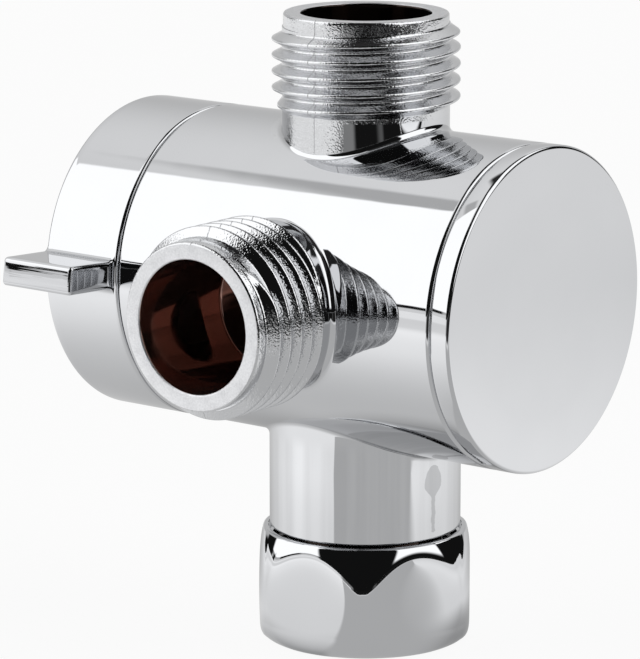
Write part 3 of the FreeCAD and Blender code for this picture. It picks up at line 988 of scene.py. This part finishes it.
# %% Wind both threads and join them to the casting
thread_shading = 45
top_thread = wound_thread("top_thread", start_height=20.1, start_angle=math.radians(177), turns=4.72,
                          fade_in=0.25, fade_out=0.14)
front_thread = wound_thread("front_thread", start_height=19.294, start_angle=math.radians(-10),
                            turns=5.164, fade_in=0.25, fade_out=0.1)
front_thread.data.transform(Matrix.Rotation(math.pi / 2, 4, "X"))
for thread in (top_thread, front_thread):
    finish_mesh(thread, thread_shading)
casting = joined([casting, top_thread, front_thread])

# %% [markdown]
# ## Which finish goes where on the casting
# The barrel, the neck and the roots are buffed, the threads are not, and the plain band under the top
# thread is buffed only on the side that the wheel could reach. The top bore and the hollows inside
# get the very dark skin, which is painted shade. Faces could be picked by hand, but each finish has
# its own place, so a rule on the face's middle finds them.

# %% Give the casting its finishes
polished, grained, satin, brown, painted_shade = range(len(casting_finishes))
end_margin = 0.05
chamber_margin = 0.2
wall_margin = 0.5
root_depth = 2
tooth_room = 1.3
mouth_depth = 0.32
mouth_edge = 0.25
grained_from = 19.45
band_from = 16.5
buffed_slope = -0.775
buffed_shift = -3.4


def casting_finish(centre):
    """Number of the finish that a face of the casting has, from the face's middle."""
    across = math.hypot(centre.y, centre.z)
    between_ends = barrel_left + end_margin < centre.x < barrel_right - end_margin
    # The chamber, the top bore, the inner walls and the inside of the neck take the very dark skin: painted
    # shade.
    if between_ends and across < bore_floor - chamber_margin:
        return painted_shade
    for outward, sideways, bore_finish in ((centre.z, centre.y, painted_shade), (-centre.y, centre.z, brown)):
        from_axis = math.hypot(centre.x, sideways)
        if outward > barrel_radius - root_depth and from_axis < thread_core + tooth_room:
            if from_axis < bore_radius + end_margin:
                return bore_finish
            if outward > outlet_mouth - mouth_depth and from_axis < rim_radius - mouth_edge:
                return satin
            unbuffed = centre.x < buffed_slope * centre.y + buffed_shift and outward > band_from
            return grained if outward > grained_from or (unbuffed and bore_finish == painted_shade) else polished
    if centre.z < -barrel_radius and math.hypot(centre.x, centre.y) < neck_radius - wall_margin:
        return painted_shade
    return painted_shade if between_ends and across < barrel_radius - wall_margin else polished


casting.data.materials.clear()
for finish in casting_finishes:
    casting.data.materials.append(finish)
for face in casting.data.polygons:
    face.material_index = casting_finish(face.center / mm)
place_piece(casting)
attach(casting, "housing")
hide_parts("valve_body")
print("casting:", len(casting.data.polygons), "faces")

# %% [markdown]
# ## The end cap
# A plain disc with a hollow spigot behind it that is pressed into the barrel. It could be a cylinder
# with bevelled edges; drawing its half section and turning it gives each edge its own round, and the
# spigot's groove for the rubber ring comes with it.

# %% Turn the cap
turn_cells = 256
turn_angles = [2 * math.pi * cell / turn_cells for cell in range(turn_cells)]
cap_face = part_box("end_cap")[1].x / mm
cap_face_round = 0.42
cap_seam_round = 0.45
cap_back = cap_face - 3.5
spigot_radius = 15.58
spigot_hollow = 11.58
spigot_groove = spigot_radius - 1.5
groove_left = 17.9
groove_right = 20.1
cap_section = rounded([(cap_face, 0), (cap_face, 6.0), (cap_face, 12.0),
                       (cap_face, barrel_radius, cap_face_round),
                       (barrel_right, barrel_radius, cap_seam_round), (barrel_right, spigot_radius),
                       (groove_right, spigot_radius), (groove_right, spigot_groove),
                       (groove_left, spigot_groove), (groove_left, spigot_radius),
                       (chamber_right, spigot_radius), (chamber_right, spigot_hollow),
                       (cap_back, spigot_hollow), (cap_back, 0)])
cap = extruded_rings("round_end_cap", turned_rings(cap_section, turn_angles))
finish_mesh(cap)
place_piece(cap)
cap.data.materials.append(polished_chrome("cap_chrome"))
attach(cap, "housing")
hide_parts("end_cap")

# %% [markdown]
# ## The lever knob
# A drum as wide as the barrel with a flat lever on one side, cast in one. A bevelled box joined to a
# cylinder would leave a hard crease at the lever's root. So sections across it are a circle that runs
# out into the lever over two hollow roots. Going along the axis, the drum's edge and the lever's
# sides have their own small rounds, so each ring is that outline with both parts drawn in by a
# little. The tip's face leans back a few degrees and is faintly crowned, as its mirror image shows.

# %% Sizes of the knob
knob_low, knob_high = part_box("knob")
knob_left = knob_low.x / mm
knob_right = knob_high.x / mm
knob_lift = math.radians(-3.1)
drum_left_round = 0.5
drum_right_round = 0.4
lever_half = 1.6
lever_tip = 25.4
lever_round = 0.45
lever_hollow = 0.8
lever_left = knob_left + 0.05
lever_right = knob_right - 0.45
least_corner = 0.06
left_lean = math.tan(math.radians(4.6))
right_lean = math.tan(math.radians(3.4))
tip_crown = 30.0
tip_margin = 0.01
print("lever", round(lever_right - lever_left, 2), "mm wide and", 2 * lever_half, "mm thick")

# %% Outline of the knob at one place
drum_cells = 168
hollow_steps = 8
side_steps = 10
corner_steps = 6
tip_shares = (0.96, 0.64, 0.32)
lever_cells = 2 * (hollow_steps + side_steps + corner_steps + len(tip_shares)) + 2


def tip_setback(place, up):
    """How far the tip's face lies behind its foremost edge: it leans back and is faintly crowned."""
    share = (place - lever_left) / (lever_right - lever_left)
    lean = left_lean + (right_lean - left_lean) * share
    return lean * (up + lever_half) + up ** 2 / (2 * tip_crown)


def lever_outline(place, drum, root_angle, half, hollow, lever_in):
    """The lever's outline from its lower root round the tip to its upper root."""
    corner = max(least_corner, lever_round - lever_in)
    tip = lever_tip - lever_in
    middle = -(drum + hollow) * math.cos(root_angle)
    upper = []
    for step in range(1, hollow_steps + 1):
        angle = (math.pi / 2 - root_angle) * step / hollow_steps + root_angle
        upper.append((middle + hollow * math.cos(angle), half + hollow - hollow * math.sin(angle)))
    start = upper[-1][0]
    for step in range(1, side_steps + 1):
        upper.append((start + (corner - tip - start) * step / side_steps, half))
    for step in range(1, corner_steps + 1):
        angle = math.pi / 2 * step / corner_steps
        upper.append((corner - tip - corner * math.sin(angle), half - corner + corner * math.cos(angle)))
    upper += [(-tip, (half - corner) * share) for share in tip_shares]
    lower = [(across, -up) for across, up in upper]
    outline = lower + [(-tip, 0)] + list(reversed(upper))
    return [(across + tip_setback(place, up) * (across < corner - tip + tip_margin), up)
            for across, up in outline]


def knob_ring(place, drum, lever_in):
    """Outline at a place: the drum's radius, and how far the lever is drawn in (None for no lever)."""
    half = lever_half - (lever_in or 0)
    hollow = lever_hollow + (lever_in or 0)
    root_angle = math.asin((half + hollow) / (drum + hollow))
    sweep = 2 * math.pi - 2 * root_angle
    angles = [root_angle + sweep * cell / drum_cells for cell in range(drum_cells + 1)]
    if lever_in is None:
        angles += [root_angle * (2 * cell / lever_cells - 1) for cell in range(1, lever_cells)]
    points = [(-drum * math.cos(angle), drum * math.sin(angle)) for angle in angles]
    if lever_in is not None:
        points += lever_outline(place, drum, root_angle, half, hollow, lever_in)
    return [Vector((place, across, up)) for across, up in points]


print("the knob's outline has", drum_cells + lever_cells, "points")

# %% Rounds of the knob
screw_pocket = 7.15
stem_square = 5.0
face_ring = 12.0
pocket_floor = knob_left + 4.4
hub_face = knob_right - 0.35


def edge_in(distance, radius):
    """How far a rounded edge is drawn in at a distance from its face."""
    if distance >= radius:
        return 0.0
    return radius - math.sqrt(radius ** 2 - (radius - distance) ** 2)


def knob_drum(place):
    """Radius of the drum at a place along its axis."""
    return (barrel_radius - edge_in(place - knob_left, drum_left_round)
            - edge_in(knob_right - place, drum_right_round))


def round_like_knob(place, radius):
    """A circle whose points lie at the same bearings as the knob's outline with no lever."""
    return [Vector((place, point.y * radius / barrel_radius, point.z * radius / barrel_radius))
            for point in knob_ring(place, barrel_radius, None)]


print("drum's radius in the middle:", round(knob_drum((knob_left + knob_right) / 2), 2))

# %% Draw the knob through its outlines
round_steps = 6
lever_steps = 12
end_steps = 8
knob_rings = [round_like_knob(place, radius) for place, radius in
              ((hub_face, stem_square), (pocket_floor, stem_square), (pocket_floor, screw_pocket),
               (knob_left, screw_pocket), (knob_left, face_ring))]
for step in range(round_steps + 1):
    place = knob_left + (lever_left - knob_left) * step / round_steps
    knob_rings.append(knob_ring(place, knob_drum(place), None))
for step in range(round_steps + 1):
    place = lever_left + lever_round * (1 - math.cos(math.pi / 2 * step / round_steps))
    knob_rings.append(knob_ring(place, knob_drum(place), edge_in(place - lever_left, lever_round)))
for step in range(1, lever_steps):
    place = lever_left + lever_round + (lever_right - lever_left - 2 * lever_round) * step / lever_steps
    knob_rings.append(knob_ring(place, knob_drum(place), 0))
for step in range(round_steps + 1):
    place = lever_right - lever_round * (1 - math.sin(math.pi / 2 * step / round_steps))
    knob_rings.append(knob_ring(place, knob_drum(place), edge_in(lever_right - place, lever_round)))
for step in range(end_steps + 1):
    place = lever_right + (knob_right - lever_right) * math.sin(math.pi / 2 * step / end_steps)
    knob_rings.append(knob_ring(place, knob_drum(place), None))
knob_rings += [round_like_knob(knob_right, screw_pocket), round_like_knob(hub_face, screw_pocket),
               round_like_knob(hub_face, stem_square)]
knob = extruded_rings("lever_knob", knob_rings)
finish_mesh(knob)

# %% Plate the knob
facing_front = -0.9
place_piece(knob, knob_lift)
knob.data.materials.append(polished_chrome("knob_chrome"))
knob.data.materials.append(streaked_chrome("lever_tip_chrome"))
tip_faces = [face for face in knob.data.polygons
             if face.center.y < -(lever_tip - lever_round) * mm and face.normal.y < facing_front]
for face in tip_faces:
    face.material_index = 1
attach(knob, "control")
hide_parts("knob")
print("lever's tip:", len(tip_faces), "faces")

# %% [markdown]
# ## The cover in the knob's end
# A small disc hides the screw that holds the knob. It is pressed in flush, so only its fine edge
# shows. It could be a bevelled cylinder, but it is turned like the cap, to keep one way for both.

# %% Turn the cover
cover_radius = 7.13
cover_round = 0.2
cover_back = knob_left + 1.2
cover_section = rounded([(knob_left, 0), (knob_left, 3.5), (knob_left, cover_radius, cover_round),
                         (cover_back, cover_radius), (cover_back, 0)])
cover = extruded_rings("screw_cover", turned_rings(cover_section, turn_angles))
finish_mesh(cover)
place_piece(cover, knob_lift)
cover.data.materials.append(polished_chrome("cover_chrome"))
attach(cover, "control")
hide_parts("knob_plug")

# %% [markdown]
# ## The spanner nut
# The nut is turned with a crowned side, and six flats are then milled into it, so each flat has an
# oval outline. A six-sided prism with bevels would give straight corners. Instead each ring takes,
# at every bearing, the nearer of the round side and the flat. Buffing has softened the line between
# them, so over a narrow stretch the two are blended, and the mirror image flows across.

# %% Rings of the nut
nut_top = -27.8
nut_mouth = -axis_height / mm
nut_height = nut_top - nut_mouth
nut_turn = math.radians(6)
nut_half_flat = 11.8475
nut_crown = 12.7475
crown_height = 5.8
crown_round = 19.0
shoulder_round = 0.25
foot_height = 2.4
foot_radius = 10.9
flat_blend = 1.0
nut_cells = 288


def crown_at(height):
    """Radius of the crowned side at a height above the mouth."""
    return nut_crown - crown_round + math.sqrt(crown_round ** 2 - (height - crown_height) ** 2)


def nut_ring(height, radius):
    """Outline of the nut at a height: its round side, cut back to six flats over soft edges."""
    points = []
    for cell in range(nut_cells):
        angle = 2 * math.pi * cell / nut_cells
        off_flat = (angle + math.pi / 6) % (math.pi / 3) - math.pi / 6
        flat = nut_half_flat / math.cos(off_flat)
        share = min(1, max(0, 0.5 + (flat - radius) / (2 * flat_blend)))
        reach = flat + (radius - flat) * share - flat_blend * share * (1 - share) / 2
        turn = angle + nut_turn - math.pi / 2
        points.append(Vector((reach * math.cos(turn), reach * math.sin(turn), nut_mouth + height)))
    return points


def round_like_nut(height, radius):
    """A circle with as many points as the nut's outline has."""
    outline = nut_ring(height, nut_crown)
    return [Vector((point.x, point.y, 0)).normalized() * radius + Vector((0, 0, point.z))
            for point in outline]


print("nut", round(nut_height, 2), "mm high,", 2 * nut_half_flat, "mm over its flats")

# %% Draw the nut
recess_radius = neck_radius + 0.12
recess_floor = nut_height - 0.6
recess_edge = 0.05
web_bottom = recess_floor - 1.8
eye_radius = tail_radius + 0.05
thread_relief = 10.5475
mouth_chamfer = 0.4
mouth_radius = thread_core + mouth_chamfer + 0.8
shoulder_steps = 16
crown_steps = 60
foot_steps = 12

nut_rings = [round_like_nut(height, radius) for height, radius in
             ((0, mouth_radius), (mouth_chamfer, thread_relief), (web_bottom, thread_relief),
              (web_bottom, eye_radius), (recess_floor, eye_radius), (recess_floor, recess_radius),
              (nut_height - recess_edge, recess_radius), (nut_height, recess_radius + recess_edge))]
for step in range(shoulder_steps + 1):
    height = nut_height - shoulder_round * (1 - math.cos(math.pi / 2 * step / shoulder_steps))
    shrink = edge_in(nut_height - height, shoulder_round)
    nut_rings.append(nut_ring(height, crown_at(height) - shrink))
crown_top = nut_height - shoulder_round
for step in range(1, crown_steps + 1):
    height = crown_top - (crown_top - foot_height) * step / crown_steps
    nut_rings.append(nut_ring(height, crown_at(height)))
for step in range(1, foot_steps + 1):
    angle = math.pi / 2 * step / foot_steps
    height = foot_height * (1 - math.sin(angle))
    inward = (crown_at(foot_height) - foot_radius) * (1 - math.cos(angle))
    nut_rings.append(nut_ring(height, crown_at(foot_height) - inward))
nut_rings.append(round_like_nut(0, mouth_radius))
nut = extruded_rings("spanner_nut", nut_rings)
finish_mesh(nut, 40)

# %% [markdown]
# ## The nut's thread
# The nut screws on to a half-inch pipe, so its bore carries the same thread, cut inwards as far as
# the washer. The same winding does it, with the teeth pointing in from the relief's wall.

# %% Cut its thread and plate it
washer_bottom = (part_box("inlet_washer")[0].z - axis_height) / mm
thread_start = nut_mouth + mouth_chamfer + pitch / 2
thread_room = washer_bottom - thread_start
thread_spare = 0.6
nut_thread = wound_thread("nut_thread", start_height=thread_start, start_angle=0,
                          turns=thread_room / pitch - thread_spare, fade_in=0.25, fade_out=0.25,
                          core=thread_relief, way=-1)
finish_mesh(nut_thread, thread_shading)
nut = joined([nut, nut_thread])
nut.data.materials.clear()
nut.data.materials.append(polished_chrome("nut_chrome"))
nut.data.materials.append(grained_chrome("nut_thread_chrome"))
wall_reach = thread_relief + 0.01
for face in nut.data.polygons:
    centre = face.center / mm
    if math.hypot(centre.x, centre.y) < wall_reach and centre.z < nut_mouth + web_bottom:
        face.material_index = 1
place_piece(nut)
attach(nut, "inlet")
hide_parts("swivel_nut")

# %% [markdown]
# ## The pieces inside
# Rotor, seals, washers, spring, screw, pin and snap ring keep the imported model's meshes, because they
# are plain turned shapes and hardly show. They still get real finishes: matt rubber, moulded plastic
# and brushed steel.

# %% Rubber, plastic and steel
def matt_rubber(name):
    """Black rubber with a faint bloom."""
    made, tree, shader, place = new_finish(name, metallic=0.0, roughness=0.6)
    tint_between(tree, shader, grain(tree, place, size=1.5), (0.012, 0.012, 0.013), (0.03, 0.03, 0.032))
    raise_grain(tree, shader, grain(tree, place, size=0.15), depth=0.01)
    return made


def moulded_plastic(name, dark, light):
    """Hard plastic with a fine moulded skin."""
    made, tree, shader, place = new_finish(name, metallic=0.0, roughness=0.4)
    tint_between(tree, shader, grain(tree, place, size=3), dark, light)
    raise_grain(tree, shader, grain(tree, place, size=0.2), depth=0.006)
    return made


def brushed_steel(name):
    """Steel with a drawn grain along X."""
    made, tree, shader, place = new_finish(name)
    drawn = grain(tree, drawn_out(tree, place, (0.1, 1, 1)), size=0.12)
    tint_between(tree, shader, drawn, (0.42, 0.42, 0.43), (0.55, 0.55, 0.56))
    raise_grain(tree, shader, drawn, depth=0.004)
    return made


# %% Finish the inner pieces
rotor_plastic = moulded_plastic("rotor_plastic", (0.80, 0.80, 0.78), (0.88, 0.88, 0.86))
slip_plastic = moulded_plastic("slip_plastic", (0.75, 0.74, 0.70), (0.82, 0.81, 0.78))
inner_finishes = [
    (matt_rubber("seal_rubber"), ["end_cap_o_ring", "stem_o_ring_inner", "stem_o_ring_outer",
                                  "port_seal", "inlet_washer"]),
    (rotor_plastic, ["rotor", "port_seal_piston"]),
    (slip_plastic, ["thrust_washer_left", "thrust_washer_right", "knob_slip_washer"]),
    (brushed_steel("spring_steel"), ["port_seal_spring", "knob_screw", "knob_screw_washer",
                                     "stop_pin", "nut_snap_ring"]),
]
for finish, nodes in inner_finishes:
    for name in nodes:
        piece = frame["nodes"][name]
        piece.data.materials.clear()
        piece.data.materials.append(finish)
print("inner pieces finished:", sum(len(nodes) for _, nodes in inner_finishes))
